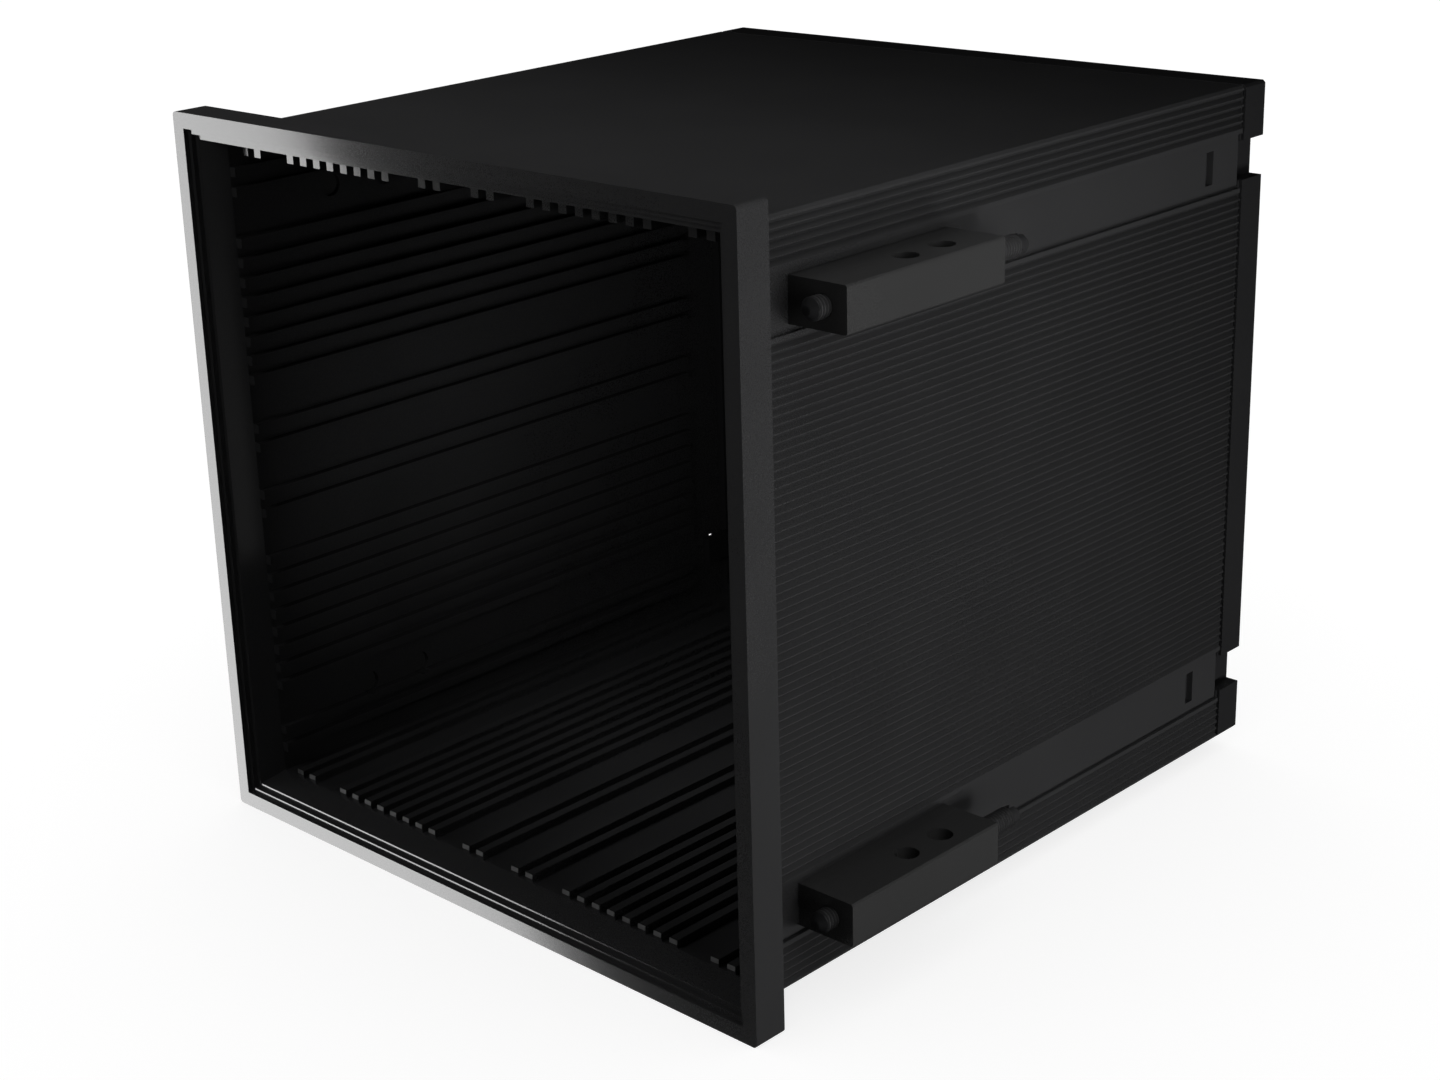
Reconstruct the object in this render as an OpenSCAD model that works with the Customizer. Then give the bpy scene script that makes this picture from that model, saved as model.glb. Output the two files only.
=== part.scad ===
// Panel mount enclosure in a square instrument format, with an open front.
// X runs to the right, Y to the back and Z up. The origin is the centre of the
// panel seat, which is the back face of the front flange.

/* [Front flange] */
// Outer width and height of the square flange
flange_w = 144; // [140:0.5:160]
// Thickness of the flange from front to back
flange_t = 7.1; // [5:0.1:10]
// Radius of the flange's outer corners
flange_corner_r = 0.8; // [0.3:0.1:2]
// Width of the seat that the flange leaves around the body
seat_w = 4.25; // [3:0.05:6]
// Width of the flat border around the front opening
border_w = 3; // [2:0.1:4]
// Width of each of the two ledges that seat a front plate
ledge_w = 1.05; // [0.6:0.05:1.4]
// Depth of each ledge below the face in front of it
ledge_d = 0.9; // [0.5:0.05:1.5]

/* [Case body] */
// Length of the body behind the flange
body_len = 139.8; // [120:0.1:180]
// Thickness of the body's walls
wall_t = 2.5; // [2:0.1:3]
// Chamfer on the body's four long edges
edge_chamfer = 0.5; // [0.2:0.1:1]

/* [Side ribs] */
// Distance from one rib to the next on the two ribbed sides
rib_pitch = 1.5; // [1.2:0.1:3]
// Width of the flat on a rib's crest
rib_crest = 0.2; // [0.1:0.05:0.6]
// Depth of the groove between two ribs
groove_d = 0.85; // [0.3:0.05:1]

/* [Clamp tracks] */
// Distance from the body's edge to the outer edge of a track
track_inset = 9.1; // [7:0.1:12]
// Height of a track
track_h = 10.65; // [9.5:0.05:13]
// Depth of a track below the ribs
track_recess = 0.85; // [0.6:0.05:1.1]

/* [Board guides] */
// Distance from one guide tooth to the next
guide_pitch = 3.9; // [3.4:0.1:5]
// Width of one guide tooth
guide_tooth_w = 1.85; // [1.4:0.05:2.2]
// Height of one guide tooth above the wall
guide_tooth_h = 1.6; // [1:0.1:1.9]
// Distance from the inner wall to the middle of the slot next to the corner
guide_corner = 7.25; // [6:0.05:9]
// Distance from the middle of the wall to the nearest slot
guide_middle = 6.9; // [5:0.1:9]
// Least distance between the tooth rows of one wall, tooth to tooth
guide_gap = 9.5; // [7:0.1:11]

/* [Rear cover] */
// Length of the cover's outer rim
cover_rim = 7.4; // [5.5:0.1:10]
// Width of the shadow gap between the case and the rim
seam_w = 0.6; // [0.2:0.05:1]
// Depth of the shadow gap
seam_d = 0.6; // [0.2:0.05:1]
// Thickness of the cover's back plate
cover_plate_t = 2.5; // [2:0.1:3.5]
// How far the collar reaches into the case
collar_len = 7.3; // [5:0.1:8]
// Thickness of the collar and of the spring fingers
collar_t = 2; // [1.6:0.1:2.2]
// Clearance between the collar and the case on each side
collar_gap = 0.15; // [0.05:0.05:0.2]

/* [Snap fingers] */
// Distance from the back edge of the case to the snap slot
snap_from_back = 8.5; // [8.4:0.1:12]
// Width of the snap slot along the case
snap_slot_w = 2.5; // [2:0.1:4]
// Height of the snap slot
snap_slot_h = 6.5; // [5:0.1:7.5]
// How far the hook stands out from its finger
hook_h = 0.7; // [0.4:0.1:0.9]
// Length of the hook with its ramp
hook_len = 1.2; // [1:0.1:1.5]
// Clearance of the hook inside its slot
snap_gap = 0.2; // [0.1:0.05:0.3]
// Width of the slit on each side of a spring finger
finger_slit = 0.8; // [0.5:0.1:0.9]
// How far a spring finger reaches past its hook
finger_toe = 2.3; // [1:0.1:4]
// Gap between the finger's toe and the ends of the board guides
toe_gap = 4.5; // [1:0.5:10]

/* [Clamp bars] */
// Distance from the panel seat to the front of a clamp bar
clamp_front = 9.8; // [8:0.1:14]
// Length of a clamp bar
clamp_len = 40.1; // [34:0.1:60]
// How far a clamp bar stands out from the floor of its track
clamp_out = 12.1; // [10:0.1:14]
// Clearance above and below a clamp bar in its track
clamp_track_gap = 1.3; // [0.5:0.05:1.6]
// Chamfer on the clamp bar's outer edges
clamp_chamfer = 0.3; // [0.1:0.1:0.8]
// Distance from the front of the bar to its first peg
peg_first = 13.9; // [8:0.1:16]
// Distance between the two pegs of one bar
peg_pitch = 13.9; // [10:0.1:16]
// Diameter of the peg holes in the case
peg_hole_d = 4.6; // [3.5:0.1:5.5]
// Clearance around a peg in its hole
peg_gap = 0.1; // [0.05:0.05:0.2]
// Length of a peg
peg_len = 0.8; // [0.6:0.1:1.3]
// Distance from the front of the bar to its first cross hole
cross_first = 20.6; // [18:0.1:24]
// Distance between the two cross holes
cross_pitch = 9.4; // [7:0.1:10]
// Diameter of the cross holes
cross_hole_d = 4.6; // [3.5:0.1:5.5]

/* [Clamp screws] */
// Outer diameter of the screw
screw_d = 4; // [3:0.5:5]
// Length of the screw
screw_len = 55; // [50:1:80]
// Distance from the track's floor to the screw's axis
screw_out = 7; // [5.5:0.1:7.5]
// How far the screw's tip stands in front of its bar
tip_out = 3.8; // [1:0.1:8]
// Clearance around the screw in its bar
screw_gap = 0.05; // [0.02:0.01:0.1]
// Diameter of the flat on the screw's tip
tip_flat_d = 1.6; // [0.8:0.1:2.4]
// Length of the cone on the screw's tip
tip_cone_len = 1.2; // [0.5:0.1:2]
// Width of the driver slot
slot_w = 0.8; // [0.5:0.1:1.2]
// Depth of the driver slot
slot_d = 1.6; // [1:0.1:2.5]

/* [Hidden] */
$fn = 48;
overlap = 0.2;
body_w = flange_w - 2 * seat_w;
body_half = body_w / 2;
cavity_half = body_half - wall_t;

opening_1 = flange_w / 2 - border_w;
opening_2 = opening_1 - ledge_w;
opening_3 = opening_2 - ledge_w;
ledge_1_y = -flange_t + ledge_d;
ledge_2_y = ledge_1_y + ledge_d;

track_high = body_half - track_inset;
track_low = track_high - track_h;
track_middle = (track_high + track_low) / 2;
track_floor = body_half - track_recess;

snap_back_y = body_len - snap_from_back;
snap_front_y = snap_back_y - snap_slot_w;
hook_back_y = snap_back_y - snap_gap;
toe_y = snap_front_y - finger_toe;
guide_end_y = toe_y - toe_gap;

cover_back_y = body_len + cover_rim;
plate_front_y = cover_back_y - cover_plate_t;
collar_front_y = body_len - collar_len;
collar_half = cavity_half - collar_gap;
finger_h = snap_slot_h - 2 * snap_gap;
notch_h = finger_h + 2 * finger_slit;

clamp_h = track_h - 2 * clamp_track_gap;
screw_x = track_floor + screw_out;
tip_y = clamp_front - tip_out;

plastic = [0.11, 0.11, 0.12];
cover_plastic = [0.09, 0.09, 0.1];
clamp_plastic = [0.16, 0.16, 0.17];
screw_steel = [0.24, 0.24, 0.25];

// A flat outline in X and Z, drawn out along Y from one place to another
module along_y(from, to) {
    translate([0, to, 0])
        rotate([90, 0, 0])
            linear_extrude(to - from)
                children();
}

// A bar along Y with a square section, as a cutter for the front opening
module square_bar(half, from, to) {
    along_y(from, to) square(2 * half, center = true);
}

// A square with round corners
module round_square(width, radius) {
    inner = width - 2 * radius;
    square([width, inner], center = true);
    square([inner, width], center = true);
    for (x = [-1, 1], y = [-1, 1])
        translate([x, y] * inner / 2) circle(radius);
}

// V grooves that part the stretch from low to high of the right-hand side into ribs of
// about one pitch. The side is drawn upwards.
function grooves(low, high) =
    let (
        ribs = floor((high - low) / rib_pitch + 0.001),
        step = (high - low) / ribs,
        groove_half = (step - rib_crest) / 2
    )
    [for (i = [1 : ribs - 1])
        let (middle = low + i * step)
        each [
            [body_half, middle - groove_half],
            [body_half - groove_d, middle],
            [body_half, middle + groove_half]
        ]];

// A track's section between two heights
function track(low, high) = [
    [body_half, low],
    [track_floor, low],
    [track_floor, high],
    [body_half, high]
];

// The right-hand side of the body from bottom to top
right_side = [
    [body_half - edge_chamfer, -body_half],
    [body_half, edge_chamfer - body_half],
    each grooves(-body_half, -track_high),
    each track(-track_high, -track_low),
    each grooves(-track_low, track_low),
    each track(track_low, track_high),
    each grooves(track_high, body_half),
    [body_half, body_half - edge_chamfer],
    [body_half - edge_chamfer, body_half]
];

// The body's whole outline: the left-hand side is the right-hand one turned half round
body_outline = [each right_side, for (p = right_side) -p];

// A plain outline without ribs or tracks, for the cover: a square with chamfered corners
function plain_side(half) = [
    [half - edge_chamfer, -half],
    [half, edge_chamfer - half],
    [half, half - edge_chamfer],
    [half - edge_chamfer, half]
];
function plain_outline(half) = [each plain_side(half), for (p = plain_side(half)) -p];

// Places of the guide teeth on one half of a wall: a pair by the middle, a row of
// teeth halfway along, and a pair by the corner. Each two neighbours hold a board.
guide_outer = cavity_half - guide_corner;
row_room = guide_outer - guide_middle - guide_pitch - 2 * guide_gap;
row_last = max(0, floor(row_room / guide_pitch));
row_middle = (guide_outer + guide_middle) / 2;
half_wall_teeth = [
    guide_middle - guide_pitch / 2,
    guide_middle + guide_pitch / 2,
    for (i = [0 : row_last]) row_middle + (i - row_last / 2) * guide_pitch,
    guide_outer - guide_pitch / 2,
    guide_outer + guide_pitch / 2
];
last_tooth = len(half_wall_teeth) - 1;
wall_teeth = [
    for (i = [last_tooth : -1 : 0]) -half_wall_teeth[i],
    each half_wall_teeth
];

// The bottom wall's guides from left to right
bottom_guides = [
    [-cavity_half, -cavity_half],
    for (t = wall_teeth) each [
        [t - guide_tooth_w / 2, -cavity_half],
        [t - guide_tooth_w / 2, guide_tooth_h - cavity_half],
        [t + guide_tooth_w / 2, guide_tooth_h - cavity_half],
        [t + guide_tooth_w / 2, -cavity_half]
    ]
];

function quarter_turns(p, n) = n == 0 ? p : quarter_turns([-p.y, p.x], n - 1);

// The inside of the case across the guides: the bottom wall's outline on all four walls
guide_outline = [for (n = [0 : 3], p = bottom_guides) quarter_turns(p, n)];

// The lead-in from the inner ledge down to the cavity's wall
module lead_in() {
    slope = (opening_3 - cavity_half) / -ledge_2_y;
    front_half = opening_3 + slope * overlap;
    translate([0, ledge_2_y - overlap, 0])
        rotate([-90, 0, 0])
            linear_extrude(overlap - ledge_2_y, scale = cavity_half / front_half)
                square(2 * front_half, center = true);
}

// The case: flange, ribbed body, stepped front opening and guided cavity in one moulding
module case() {
    color(plastic) difference() {
        union() {
            along_y(-flange_t, 0) round_square(flange_w, flange_corner_r);
            along_y(-overlap, body_len) polygon(body_outline);
        }
        square_bar(opening_1, -flange_t - 1, ledge_1_y);
        square_bar(opening_2, -flange_t - 1, ledge_2_y);
        lead_in();
        along_y(-overlap, guide_end_y + overlap) polygon(guide_outline);
        square_bar(cavity_half, guide_end_y, body_len + 1);
        for (level = [-1, 1]) {
            translate([0, 0, level * track_middle]) {
                peg_holes();
                snap_slots();
            }
        }
    }
}

// The two peg holes of one track height, drilled through both side walls
module peg_holes() {
    for (i = [0, 1])
        translate([0, clamp_front + peg_first + i * peg_pitch, 0])
            rotate([0, 90, 0])
                cylinder(h = body_w + 2, d = peg_hole_d, center = true);
}

// The snap slots of one track height, cut through both side walls
module snap_slots() {
    translate([-body_half - 1, snap_front_y, -snap_slot_h / 2])
        cube([body_w + 2, snap_slot_w, snap_slot_h]);
}

// The section of a spring finger in X and Y, with the ramped hook that catches in the snap slot
finger_section = [
    [collar_half - collar_t, plate_front_y + overlap],
    [collar_half - collar_t, toe_y],
    [collar_half, toe_y],
    [collar_half, hook_back_y - hook_len],
    [collar_half + hook_h, hook_back_y - hook_len + hook_h],
    [collar_half + hook_h, hook_back_y],
    [collar_half, hook_back_y],
    [collar_half, plate_front_y + overlap]
];

module finger() {
    translate([0, 0, -finger_h / 2])
        linear_extrude(finger_h)
            polygon(finger_section);
}

// The room around a spring finger: two slits in the collar and a notch in the rim
module finger_room() {
    reach = body_half - collar_half + 1;
    translate([collar_half - collar_t - 1, collar_front_y - 1, -notch_h / 2])
        cube([collar_t + 1 + reach, plate_front_y - collar_front_y + 1, notch_h]);
    translate([collar_half, plate_front_y - 1, -notch_h / 2])
        cube([reach, cover_plate_t + 2, notch_h]);
}

// Places a copy at each of the four tracks, turned to face outwards
module at_track(side, level) {
    translate([0, 0, level * track_middle])
        mirror([side < 0 ? 1 : 0, 0, 0])
            children();
}

// The rear cover: back plate, flush rim behind a shadow gap, collar that plugs into the case
// and four spring fingers
module rear_cover() {
    color(cover_plastic) {
        difference() {
            union() {
                along_y(body_len + seam_w, cover_back_y) polygon(plain_outline(body_half));
                along_y(body_len, body_len + seam_w + overlap) polygon(plain_outline(body_half - seam_d));
                square_bar(collar_half, collar_front_y, body_len + overlap);
            }
            square_bar(collar_half - collar_t, collar_front_y - 1, plate_front_y);
            for (side = [-1, 1], level = [-1, 1])
                at_track(side, level) finger_room();
        }
        for (side = [-1, 1], level = [-1, 1])
            at_track(side, level) finger();
    }
}

// The section of a clamp bar in X and Z, with its outer edges chamfered
clamp_section = [
    [track_floor, -clamp_h / 2],
    [track_floor + clamp_out - clamp_chamfer, -clamp_h / 2],
    [track_floor + clamp_out, clamp_chamfer - clamp_h / 2],
    [track_floor + clamp_out, clamp_h / 2 - clamp_chamfer],
    [track_floor + clamp_out - clamp_chamfer, clamp_h / 2],
    [track_floor, clamp_h / 2]
];

// One clamp bar: two pegs towards the case, a screw bore along it, two holes across it
module clamp(side, level) {
    color(clamp_plastic) at_track(side, level) {
        difference() {
            along_y(clamp_front, clamp_front + clamp_len) polygon(clamp_section);
            translate([screw_x, clamp_front - 1, 0])
                rotate([-90, 0, 0])
                    cylinder(h = clamp_len + 2, d = screw_d + 2 * screw_gap);
            for (i = [0, 1])
                translate([screw_x, clamp_front + cross_first + i * cross_pitch, 0])
                    cylinder(h = clamp_h + 2, d = cross_hole_d, center = true);
        }
        for (i = [0, 1])
            translate([track_floor - peg_len, clamp_front + peg_first + i * peg_pitch, 0])
                rotate([0, 90, 0])
                    cylinder(h = peg_len + overlap, d = peg_hole_d - 2 * peg_gap);
    }
}

// One clamp screw: headless, with a cone tip towards the panel and a driver slot behind
module screw(side, level) {
    color(screw_steel) at_track(side, level) translate([screw_x, tip_y, 0]) rotate([-90, 0, 0])
        difference() {
            rotate_extrude() polygon([
                [0, 0],
                [tip_flat_d / 2, 0],
                [screw_d / 2, tip_cone_len],
                [screw_d / 2, screw_len],
                [0, screw_len]
            ]);
            translate([-slot_w / 2, -screw_d, screw_len - slot_d])
                cube([slot_w, 2 * screw_d, slot_d + 1]);
        }
}

case();
rear_cover();
clamp(1, 1);  // clamp_upper_right
clamp(1, -1);  // clamp_lower_right
clamp(-1, 1);  // clamp_upper_left
clamp(-1, -1);  // clamp_lower_left
screw(1, 1);  // screw_upper_right
screw(1, -1);  // screw_lower_right
screw(-1, 1);  // screw_upper_left
screw(-1, -1);  // screw_lower_left
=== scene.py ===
import bpy
import numpy as np
from mathutils import Matrix, Vector


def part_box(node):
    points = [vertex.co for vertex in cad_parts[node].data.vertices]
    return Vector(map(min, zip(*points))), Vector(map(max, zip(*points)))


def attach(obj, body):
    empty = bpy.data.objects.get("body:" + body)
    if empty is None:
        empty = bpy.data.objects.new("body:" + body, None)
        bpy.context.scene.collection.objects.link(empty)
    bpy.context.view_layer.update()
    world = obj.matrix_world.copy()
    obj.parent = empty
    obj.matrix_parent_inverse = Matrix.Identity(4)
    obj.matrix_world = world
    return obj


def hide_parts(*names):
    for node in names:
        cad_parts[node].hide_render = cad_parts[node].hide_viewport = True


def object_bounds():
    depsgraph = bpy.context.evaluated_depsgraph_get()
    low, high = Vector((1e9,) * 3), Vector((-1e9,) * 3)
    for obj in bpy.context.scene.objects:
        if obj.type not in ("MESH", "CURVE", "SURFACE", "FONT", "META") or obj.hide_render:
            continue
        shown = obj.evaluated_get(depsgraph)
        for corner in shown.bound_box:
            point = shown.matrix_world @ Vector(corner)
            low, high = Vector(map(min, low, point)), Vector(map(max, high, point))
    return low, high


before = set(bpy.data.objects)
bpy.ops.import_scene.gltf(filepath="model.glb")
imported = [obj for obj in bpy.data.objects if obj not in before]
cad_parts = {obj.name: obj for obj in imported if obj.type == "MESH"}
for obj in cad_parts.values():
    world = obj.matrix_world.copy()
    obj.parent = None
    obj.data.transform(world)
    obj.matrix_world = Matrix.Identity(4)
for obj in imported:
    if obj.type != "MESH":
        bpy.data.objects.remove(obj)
cad_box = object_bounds()
scene = bpy.context.scene

# Case: the square sleeve with its front flange, ribbed outer walls and toothed board guides, one moulding.
# Black ABS, injection moulded in a spark-eroded tool, so its skin carries a fine even grain, and drawn off
# the core along its depth, which leaves faint draw lines that way.

case_dark = (0.0175, 0.0175, 0.0180, 1)
case_pale = (0.0225, 0.0225, 0.0230, 1)
case_grain = 0.00022
case_grain_depth = 0.0000012
flow_patch = 0.021
wave_length = 0.038
wave_height = 0.00006
draw_line = 0.0007
draw_stretch = (1.0, 60.0, 1.0)
draw_height = 0.000001


def new_finish(name):
    """A finish of that name, with its nodes and its shader."""
    finish = bpy.data.materials.new(name)
    finish.use_nodes = True
    return finish, finish.node_tree, finish.node_tree.nodes["Principled BSDF"]


def add_node(tree, kind, inputs=(), **settings):
    """A shader node of that kind, with the settings put on it. The inputs are pairs of a socket and either a
    value or another node's output."""
    made = tree.nodes.new("ShaderNode" + kind)
    for name, value in settings.items():
        setattr(made, name, value)
    for socket, value in inputs:
        if isinstance(value, bpy.types.NodeSocket):
            tree.links.new(value, made.inputs[socket])
        else:
            made.inputs[socket].default_value = value
    return made


def spread(tree, value, low, high, start, end):
    """Carries a value between start and end over to the span from low to high, and holds it there."""
    made = add_node(tree, "MapRange", [("Value", value), ("From Min", start), ("From Max", end),
                                       ("To Min", low), ("To Max", high)], interpolation_type="SMOOTHSTEP")
    return made.outputs["Result"]


def noise_on(tree, place, size, detail=2.0, stretch=(1.0, 1.0, 1.0)):
    """Soft noise whose patches are about size metres across, drawn out along an axis by its stretch."""
    along = add_node(tree, "Mapping", [("Vector", place), ("Scale", tuple(1 / s for s in stretch))])
    made = add_node(tree, "TexNoise", [("Vector", along.outputs["Vector"]), ("Scale", 1 / size),
                                       ("Detail", detail), ("Roughness", 0.55)])
    return made.outputs["Fac"]


def joined(tree, first, second, operation="ADD", **settings):
    """The sum of two values, or their product where the operation says so."""
    return add_node(tree, "Math", [(0, first), (1, second)], operation=operation, **settings).outputs[0]


def mixed(tree, share, first, second):
    """A colour between two: the first at a share of 0 and the second at 1. The node's colours are its sockets
    6 and 7, and its result is output 2."""
    made = add_node(tree, "Mix", [("Factor", share), (6, first), (7, second)], data_type="RGBA")
    return made.outputs[2]


def raised(tree, height, distance, under=None):
    """The normal of a skin that rises by distance metres as the height goes from 0 to 1, on top of the normal
    under it where one is given."""
    made = add_node(tree, "Bump", [("Height", height), ("Distance", distance), ("Strength", 1.0)])
    if under is not None:
        tree.links.new(under, made.inputs["Normal"])
    return made.outputs["Normal"]


def moulded_plastic(name, dark, pale, gloss, matt, grain, grain_depth, edge_radius):
    """Black plastic as it leaves the mould. Its colour drifts from dark to pale, three parts with the grain
    to one with broad flow patches, and is pale along rubbed edges. Its roughness goes from gloss to matt,
    three parts with the grain to one with the draw lines. Its surface is the sum of the slow waviness of a
    cooled wall, draw lines along the depth and the tool's grain."""
    plastic, tree, shader = new_finish(name)
    place = add_node(tree, "TexCoord").outputs["Object"]
    skin = noise_on(tree, place, grain, 3.0)
    flow = noise_on(tree, place, flow_patch, 1.0)
    wave = noise_on(tree, place, wave_length, 1.0)
    draw = noise_on(tree, place, draw_line, 2.0, draw_stretch)
    rounded = add_node(tree, "Bevel", [("Radius", edge_radius)], samples=6).outputs["Normal"]
    flat = add_node(tree, "NewGeometry").outputs["True Normal"]
    turned = add_node(tree, "VectorMath", [(0, rounded), (1, flat)], operation="DOT_PRODUCT").outputs["Value"]
    rubbed = spread(tree, turned, 1.0, 0.0, 0.80, 0.99)
    patch = joined(tree, spread(tree, flow, 0.0, 0.25, 0.30, 0.70),
                   spread(tree, skin, 0.0, 0.75, 0.35, 0.65))
    worn = joined(tree, patch, rubbed, use_clamp=True)
    tree.links.new(mixed(tree, worn, dark, pale), shader.inputs["Base Color"])
    streak = joined(tree, spread(tree, draw, 0.0, 0.25, 0.35, 0.65),
                    spread(tree, skin, 0.0, 0.75, 0.30, 0.70))
    tree.links.new(spread(tree, streak, gloss, matt, 0.0, 1.0), shader.inputs["Roughness"])
    slow = raised(tree, wave, wave_height)
    lines = raised(tree, draw, draw_height, slow)
    tree.links.new(raised(tree, skin, grain_depth, lines), shader.inputs["Normal"])
    return plastic


def dress(node, material):
    """Gives a solid of the frame its finish, in place of the plain one it came with."""
    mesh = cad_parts[node].data
    mesh.materials.clear()
    mesh.materials.append(material)


case_plastic = moulded_plastic("case_plastic", case_dark, case_pale, gloss=0.104, matt=0.116,
                               grain=case_grain, grain_depth=case_grain_depth, edge_radius=0.00008)
dress("case", case_plastic)

# Guide noses: the upper front ends of the bottom wall's guide teeth, moulded with the case in its plastic.
# Each leans back a little, so that a board set down on the guides finds its slot, and is duller than the
# case, as the ends of the tool's inserts leave it.

cavity_half = 0.06525
tooth_pitch = 0.0039
tooth_width = 0.00185
tooth_height = 0.0016
middle_pair = 0.0069
corner_inset = 0.00725
corner_pair = cavity_half - corner_inset
row_of_eight = (corner_pair + middle_pair) / 2 + (np.arange(8) - 3.5) * tooth_pitch
nose_reach = 0.00012
nose_start = 0.45 * tooth_height
nose_lean = np.radians(7)
nose_sunk = 0.00005
skin_gap = 0.000005


def nose_ends():
    """Points and faces of all the noses. One nose is a profile of depth and height, which starts part way up
    at the reach before the tooth's front and leans back to the top, carried straight across the tooth's
    width, a hair inside the tooth's sides and top. It is set at each tooth's place along the bottom wall."""
    top = tooth_height - skin_gap
    tip = (top - nose_start) * np.tan(nose_lean) - nose_reach
    depth = np.array([nose_sunk, -nose_reach, tip, nose_sunk])
    height = np.array([nose_start, nose_start, top, top]) - cavity_half
    pair = np.array([-0.5, 0.5]) * tooth_pitch
    half = np.concatenate([middle_pair + pair, row_of_eight, corner_pair + pair])
    teeth = np.concatenate([-half, half])
    across = np.array([-0.5, 0.5]) * (tooth_width - 2 * skin_gap)
    count = len(depth)
    x = np.broadcast_to((teeth[:, None] + across)[:, :, None], (len(teeth), 2, count))
    corners = np.stack([x, np.broadcast_to(depth, x.shape), np.broadcast_to(height, x.shape)], axis=-1)
    first = np.arange(len(teeth))[:, None, None] * 2 * count
    i = np.arange(count)
    j = np.roll(i, -1)
    sides = first + np.stack([i + count, j + count, j, i], axis=-1)
    ends = first + np.stack([i, i[::-1] + count])
    return corners.reshape(-1, 3), sides.reshape(-1, 4).tolist() + ends.reshape(-1, count).tolist()


def new_mesh(name, corners, faces, material):
    """A mesh of those points and faces, in one finish."""
    mesh = bpy.data.meshes.new(name)
    mesh.from_pydata(corners.tolist(), [], faces)
    mesh.materials.append(material)
    return mesh


def put_in_scene(name, data):
    """A new object in the scene, at the origin, unturned and unscaled."""
    made = bpy.data.objects.new(name, data)
    scene.collection.objects.link(made)
    return made


guide_plastic = moulded_plastic("guide_plastic", case_dark, case_pale, gloss=0.56, matt=0.64,
                                grain=case_grain, grain_depth=case_grain_depth, edge_radius=0.00004)
guide_noses = put_in_scene("guide_noses", new_mesh("guide_noses", *nose_ends(), guide_plastic))
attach(guide_noses, "enclosure")

# Rear cover: the plate that closes the case, with a collar and sprung fingers that catch in the case's slots.
# The same black ABS from its own tool, with a slightly coarser grain on the outside, snapped in from behind.

# The cover's two colours are set darker than the case's, though it is the same ABS: this is painted shade,
# which darkens its rim and the fingers' hooks seen in the case's slots.
cover_plastic = moulded_plastic("cover_plastic", (0.0100, 0.0100, 0.0104, 1), (0.0130, 0.0130, 0.0134, 1),
                                gloss=0.225, matt=0.245, grain=0.00026, grain_depth=0.0000020,
                                edge_radius=0.00008)
dress("rear_cover", cover_plastic)

# Clamps: four bars that hook into the case's side tracks with pegs and carry the jack screws.
# Glass-filled black nylon, moulded solid round its bores, so it is duller and a little greyer than the case.

clamp_plastic = moulded_plastic("clamp_plastic", (0.0180, 0.0180, 0.0180, 1), (0.0230, 0.0230, 0.0230, 1),
                                gloss=0.250, matt=0.270, grain=0.00018, grain_depth=0.0000015,
                                edge_radius=0.00010)
corner_names = [level + "_" + side for level in ("upper", "lower") for side in ("right", "left")]
for corner in corner_names:
    dress("clamp_" + corner, clamp_plastic)

# Jack screws: slotted set screws that run through the clamps and press the flange against the panel.
# Cold-rolled M4 steel with a coarse thread and a cone tip, blackened in hot oxide, paler on rubbed crests.

thread_pitch = 0.0007
thread_depth = 0.00030
groove_power = 1.4
rows_a_turn = 8
around = 36
tip_flat = 0.0008
tip_slope = 1.0
neck_cut = 0.6 * thread_depth
drive_depth = 0.0016
drive_width = 0.0008
drive_chamfer = 0.0003
drive_points = 17
drive_overlap = 0.0002
drive_wear = 0.3
crease = np.radians(50)
# The darkest colour is bare oxide where the slotted end takes a little of it, and painted shade on the tip's
# cone.
bare_oxide_and_tip_shade = (0.008, 0.008, 0.0085, 1)
oxide_flank = (0.016, 0.016, 0.0165, 1)
oxide_crest = (0.021, 0.021, 0.0215, 1)
oil_patch = 0.0011
turning_mark = 0.00009
turning_stretch = (12.0, 1.0, 12.0)
turning_height = 0.000004


def closed_tube(rings):
    """Points and faces of a tube through the rings, an array of rings by points by 3, with a point at each
    end's middle: each ring is joined to the next one by quads, and the end rings to their middles by
    triangles."""
    count, points = rings.shape[:2]
    corners = np.vstack([rings.reshape(-1, 3), rings[0].mean(0), rings[-1].mean(0)])
    here = np.arange(count * points).reshape(count, points)
    there = np.roll(here, -1, axis=1)
    sides = np.stack([here[:-1], here[1:], there[1:], there[:-1]], axis=-1).reshape(-1, 4)
    first = np.stack([here[0], there[0], np.full(points, count * points)], axis=-1)
    last = np.stack([there[-1], here[-1], np.full(points, count * points + 1)], axis=-1)
    return corners, sides.tolist() + first.tolist() + last.tolist()


def threaded_shank(radius, start, end):
    """The screw's round part along Y, and how far it is rubbed. At angle a and depth y its radius is the
    screw's radius, less the thread's depth times a power of a raised cosine of the turn
    y / pitch - a / 360 degrees, and nowhere more than the tip's cone or the cone that leads to the slotted
    end. It is rubbed fully on the crests and half in the roots. The tip is set at no rub at all, which
    paints its cone in the darkest colour as painted shade."""
    depth = np.linspace(start, end, int((end - start) / thread_pitch * rows_a_turn))
    angle = np.linspace(0, 2 * np.pi, around, endpoint=False)
    y, a = np.meshgrid(depth, angle, indexing="ij")
    groove = 0.5 - 0.5 * np.cos(2 * np.pi * y / thread_pitch - a)
    cut = radius - thread_depth * groove ** groove_power
    cone = tip_flat + tip_slope * (y - start)
    runout = radius - neck_cut + tip_slope * (end - y)
    r = np.minimum(np.minimum(cut, cone), runout)
    # The tip's cone gets no rub, so it takes the darkest colour: painted shade on the tip.
    worn = np.where(cone < cut, 0.0, 1 - 0.5 * groove)
    return np.stack([r * np.cos(a), y, r * np.sin(a)], axis=-1), worn


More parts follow.
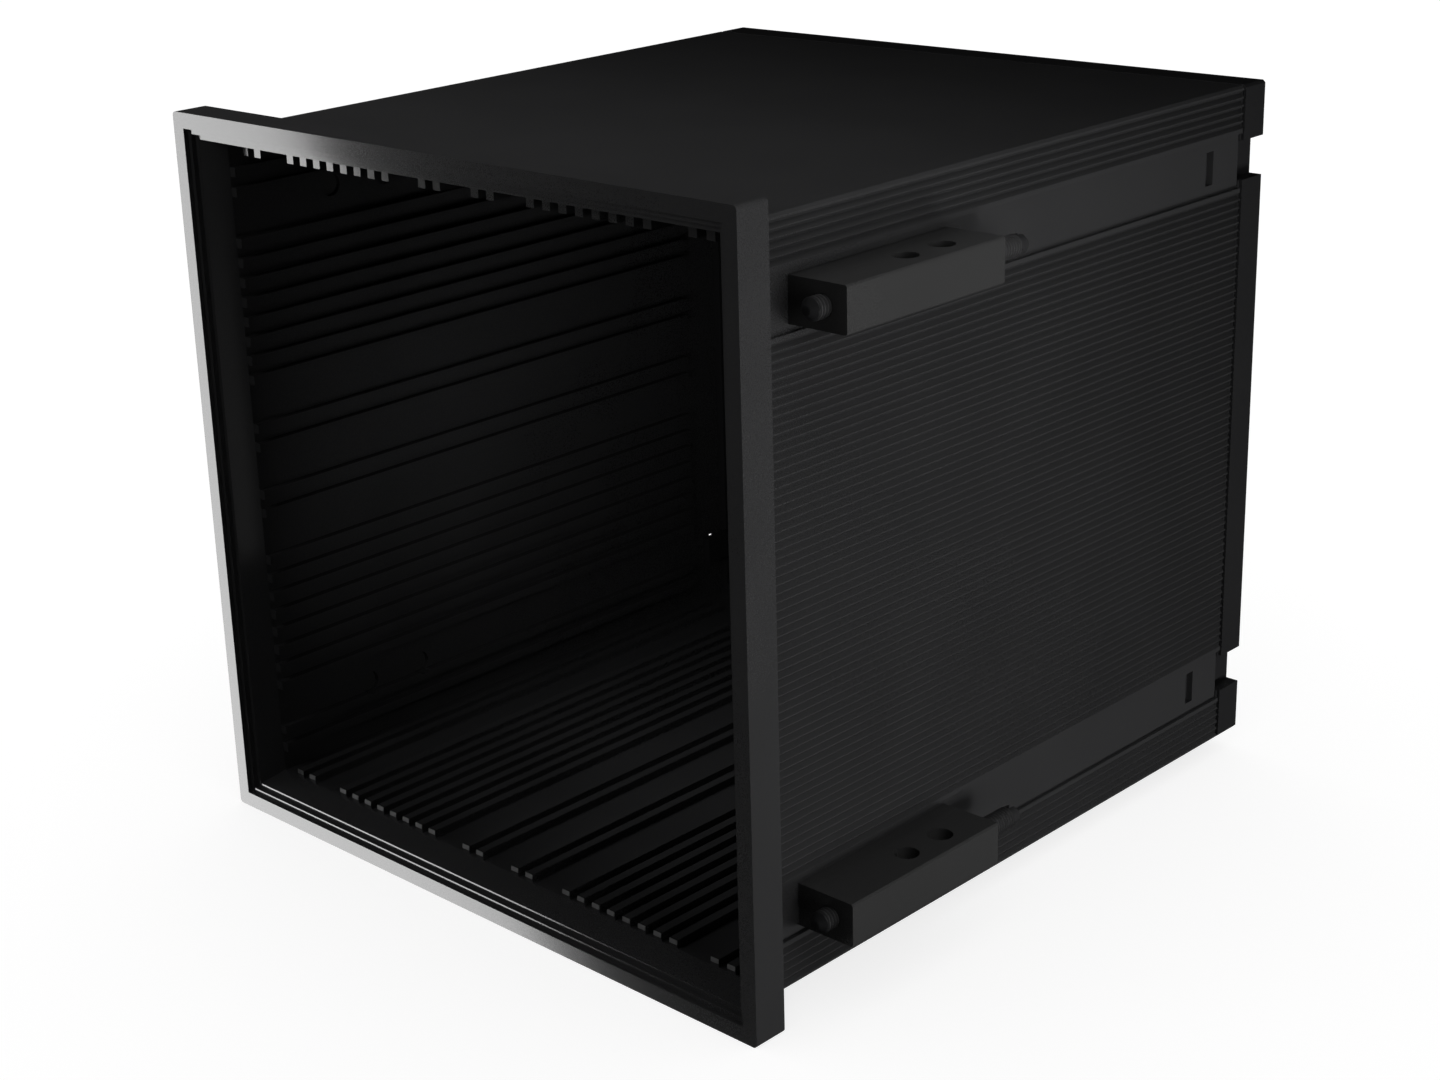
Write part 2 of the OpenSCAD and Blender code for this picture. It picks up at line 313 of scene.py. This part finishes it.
def drive_prong(radius, start, end, hand):
    """One half of the slotted end: a round segment beside the slot, on the hand of plus or minus X, carried
    straight along Y and drawn in by a small chamfer at its end face."""
    reach = np.arccos(drive_width / 2 / radius)
    angle = np.linspace(-reach, reach, drive_points)
    flat = hand * radius * np.stack([np.cos(angle), np.sin(angle)], axis=-1)
    middle = flat.mean(0)
    depth = np.array([start, end - drive_chamfer, end])
    share = np.array([1.0, 1.0, 1 - drive_chamfer / radius])
    drawn = middle + (flat - middle) * share[:, None, None]
    return np.stack([drawn[..., 0], np.broadcast_to(depth[:, None], drawn.shape[:2]), drawn[..., 1]], axis=-1)


def blackened_steel(name):
    """Oxide-black steel: the oxide is a dull mineral skin, dark in the thread's roots and greyer on its
    crests, where the bar's thread has rubbed it, with fine turning marks and small oily patches. The tip is
    painted nearly black, which is painted shade."""
    steel, tree, shader = new_finish(name)
    place = add_node(tree, "TexCoord").outputs["Object"]
    crest = add_node(tree, "Attribute", attribute_name="crest").outputs["Fac"]
    patch = noise_on(tree, place, oil_patch, 3.0)
    turning = noise_on(tree, place, turning_mark, 2.0, turning_stretch)
    rub = joined(tree, spread(tree, crest, 0.0, 1.0, 0.55, 1.0), spread(tree, patch, 0.25, 1.0, 0.35, 0.65),
                 operation="MULTIPLY")
    flank = mixed(tree, spread(tree, crest, 0.0, 1.0, 0.1, 0.4), bare_oxide_and_tip_shade, oxide_flank)
    tree.links.new(mixed(tree, rub, flank, oxide_crest), shader.inputs["Base Color"])
    tree.links.new(spread(tree, patch, 0.38, 0.55, 0.30, 0.70), shader.inputs["Roughness"])
    tree.links.new(raised(tree, turning, turning_height), shader.inputs["Normal"])
    return steel


screw_steel = blackened_steel("screw_steel")
for corner in corner_names:
    node = "screw_" + corner
    low, high = (np.array(end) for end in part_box(node))
    radius = (high[2] - low[2]) / 2
    neck = high[1] - drive_depth
    shank, worn = threaded_shank(radius, low[1], neck)
    corners, faces = closed_tube(shank)
    crest = np.append(worn.ravel(), [0.0, 0.0])
    for hand in (1, -1):
        more, rims = closed_tube(drive_prong(radius - neck_cut, neck - drive_overlap, high[1], hand))
        faces += [[i + len(corners) for i in rim] for rim in rims]
        corners = np.vstack([corners, more])
        crest = np.append(crest, np.full(len(more), drive_wear))
    corners += [(low[0] + high[0]) / 2, 0, (low[2] + high[2]) / 2]
    mesh = new_mesh("jack_" + node, corners, faces, screw_steel)
    mesh.attributes.new("crest", "FLOAT", "POINT").data.foreach_set("value", crest.astype(np.float32))
    mesh.shade_smooth()
    mesh.set_sharp_from_angle(angle=crease)
    jack = put_in_scene("jack_" + node, mesh)
    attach(jack, corner + "_screw")
    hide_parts(node)

# Floor: the pale sweep the enclosure stands on for its picture, a flat round sheet that curves up far behind.
# Matt white card, lit evenly enough to glow; it takes the object's shadow and gives no light back to it.

floor_level = cad_box[0][2]
floor_flat = 1.6
floor_curve = 1.2


def sweep_sheet(rings, spokes):
    """A round sheet: flat out to a radius, then a quarter circle upwards, as one profile turned about the Z
    axis."""
    t = np.linspace(0, 1, rings)
    run = np.minimum(t * 2, 1) * floor_flat
    bend = np.clip(t * 2 - 1, 0, 1) * np.pi / 2
    r = run + floor_curve * np.sin(bend)
    z = floor_level + floor_curve * (1 - np.cos(bend))
    angle = np.linspace(0, 2 * np.pi, spokes, endpoint=False)
    return np.stack([r[:, None] * np.cos(angle), r[:, None] * np.sin(angle),
                     np.broadcast_to(z[:, None], (rings, spokes))], axis=-1)


def matt_card(name, grey, roughness, glow=0.0):
    """Card of an even grey with no shine, which glows white by its glow, for the things round the object."""
    card, _, shader = new_finish(name)
    shader.inputs["Base Color"].default_value = (grey, grey, grey, 1)
    shader.inputs["Roughness"].default_value = roughness
    shader.inputs["Specular IOR Level"].default_value = 0.0
    shader.inputs["Emission Color"].default_value = (1, 1, 1, 1)
    shader.inputs["Emission Strength"].default_value = glow
    return card


def all_but(thing):
    """A group for a lamp's light or shadows, which takes in everything except one thing."""
    group = bpy.data.collections.new("all_but_" + thing.name)
    group.objects.link(thing)
    group.collection_objects[0].light_linking.link_state = "EXCLUDE"
    return group


floor_card = matt_card("floor_card", grey=0.40, roughness=0.9, glow=0.80)
sheet = sweep_sheet(rings=49, spokes=96)
here = np.arange(sheet.shape[0] * sheet.shape[1]).reshape(sheet.shape[:2])
there = np.roll(here, -1, axis=1)
quads = np.stack([here[1:-1], here[2:], there[2:], there[1:-1]], axis=-1).reshape(-1, 4).tolist()
fan = np.stack([here[1], there[1], np.zeros_like(here[1])], axis=-1).tolist()
floor_mesh = new_mesh("floor", sheet.reshape(-1, 3), quads + fan, floor_card)
floor_mesh.shade_smooth()
floor = put_in_scene("floor", floor_mesh)
floor.visible_diffuse = False
floor.visible_glossy = False
floor.visible_shadow = False
floor_only = bpy.data.collections.new("floor_only")
floor_only.objects.link(floor)
all_but_floor = all_but(floor)

# Flag: a black card that stands upright beside the flange's left edge, just before its front.
# Felt on board, there for the picture. It keeps the tall lamp's mirror image off the enclosure's left side.

flag_front = -0.008
flag_right, flag_left = -0.0742, -0.90
flag_low, flag_high = -0.75, 0.067
flag_card = matt_card("flag_card", grey=0.0, roughness=1.0)
flag_corners = np.array([(flag_right, flag_front, flag_low), (flag_left, flag_front, flag_low),
                         (flag_left, flag_front, flag_high), (flag_right, flag_front, flag_high)])
flag = put_in_scene("flag", new_mesh("flag", flag_corners, [(0, 1, 2, 3)], flag_card))
flag.visible_camera = False
flag.visible_diffuse = False

# Light: a strip over the top, a tall lamp at the front's left that only the gloss shows, and soft fills.
# White studio lamps in square diffusers. The strip and the fills, which stand round the sides, in the opening
# and behind, are screened from the gloss. A wide lamp overhead lights the floor alone, past the flag.

gloss_upright = (-0.3752, -0.0237, 0.9270)
room_glow = 0.001


def aim(thing, centre, across, upright, back):
    """Stands a lamp or the camera at centre, with its own X, Y and Z axes along across, upright and back."""
    turn = Matrix((across, upright, back)).transposed()
    thing.matrix_world = Matrix.Translation(centre) @ turn.to_4x4()


def softbox(name, centre, facing, upright, width, height, watts):
    """A flat lamp at centre that shines along facing, with its height as nearly along upright as it goes."""
    lamp = bpy.data.lights.new(name, "AREA")
    lamp.shape = "RECTANGLE"
    lamp.size, lamp.size_y = width, height
    lamp.energy = watts
    back = -Vector(facing).normalized()
    across = Vector(upright).cross(back).normalized()
    made = put_in_scene(name, lamp)
    aim(made, centre, across, back.cross(across), back)
    made.visible_camera = False
    made.light_linking.receiver_collection = all_but_floor
    return made


top_strip = softbox("top_strip", (-0.10, 0.015, 0.18), (0.0, 0.0, -1.0), (0, 1, 0), 0.50, 0.06, 0.445)
top_strip.visible_glossy = False
front_gloss = softbox("front_gloss", (-0.4804, -0.2075, -0.2133), (0.7606, 0.5636, 0.3224), gloss_upright,
                      0.30, 0.75, 4.6)
front_gloss.visible_diffuse = False
for name, centre, facing, width, height, watts in (
    ("front_high", (-0.10, -0.34, 0.27), (0.10, 0.34, -0.27), 0.15, 0.15, 0.50),
    ("front_low", (-0.48, -0.21, -0.21), (0.48, 0.21, 0.21), 0.30, 0.30, 1.05),
    ("front_side", (-0.45, -0.20, 0.02), (0.45, 0.20, -0.02), 0.20, 0.20, 0.90),
    ("right_low", (0.34, 0.20, -0.12), (-0.273, -0.14, 0.12), 0.10, 0.10, 0.94),
    ("side_front_upper", (0.18, -0.02, 0.06), (-1.0, 0.0, 0.0), 0.06, 0.08, 0.067),
    ("side_front_lower", (0.18, -0.02, -0.06), (-1.0, 0.0, 0.0), 0.06, 0.08, 0.033),
    ("side_upper", (0.18, 0.05, 0.06), (-1.0, 0.0, 0.0), 0.06, 0.08, 0.115),
    ("side_lower", (0.18, 0.05, -0.06), (-1.0, 0.0, 0.0), 0.06, 0.08, 0.030),
    ("cavity_front", (0.0, 0.0, 0.0), (0.0, 1.0, 0.0), 0.05, 0.05, 0.030),
    ("cavity_fill", (0.0, 0.03, 0.0), (0.0, 1.0, 0.0), 0.06, 0.06, 0.015),
    ("left_low", (-0.34, 0.20, -0.12), (0.273, -0.14, 0.12), 0.10, 0.10, 0.94),
    ("left_near", (-0.18, 0.05, 0.015), (1.0, 0.0, 0.0), 0.06, 0.08, 0.20),
    ("rear_near", (-0.02, 0.297, 0.0), (0.0, -1.0, 0.0), 0.10, 0.06, 0.35),
):
    fill = softbox(name, centre, facing, (0, 0, 1), width, height, watts)
    fill.visible_glossy = False
overhead = bpy.data.lights.new("floor_light", "SUN")
overhead.energy = 1.8
overhead.angle = 2.6
floor_light = put_in_scene("floor_light", overhead)
floor_light.light_linking.receiver_collection = floor_only
floor_light.light_linking.blocker_collection = all_but(flag)
world = bpy.data.worlds.new("room")
world.use_nodes = True
room = world.node_tree.nodes["Background"]
room.inputs["Color"].default_value = (1, 1, 1, 1)
room.inputs["Strength"].default_value = room_glow
scene.world = world
scene.view_settings.view_transform = "Standard"

# Camera: a short telephoto at the right of the open front, above mid height, rolled by under three degrees.
# Its lens is shifted a little, so that the enclosure sits where it does in the frame.

camera_place = (0.31628, -0.271094, 0.151037)
camera_across = (0.70154, 0.71141, -0.04179)
camera_upright = (-0.20657, 0.25913, 0.94349)
camera_back = (0.68204, -0.65326, 0.32874)
lens = bpy.data.cameras.new("camera")
lens.sensor_width = 36.0
lens.lens = 61.43
lens.shift_x, lens.shift_y = 0.0810, -0.02516
lens.clip_start, lens.clip_end = 0.01, 20.0
camera = put_in_scene("camera", lens)
aim(camera, camera_place, camera_across, camera_upright, camera_back)
scene.camera = camera
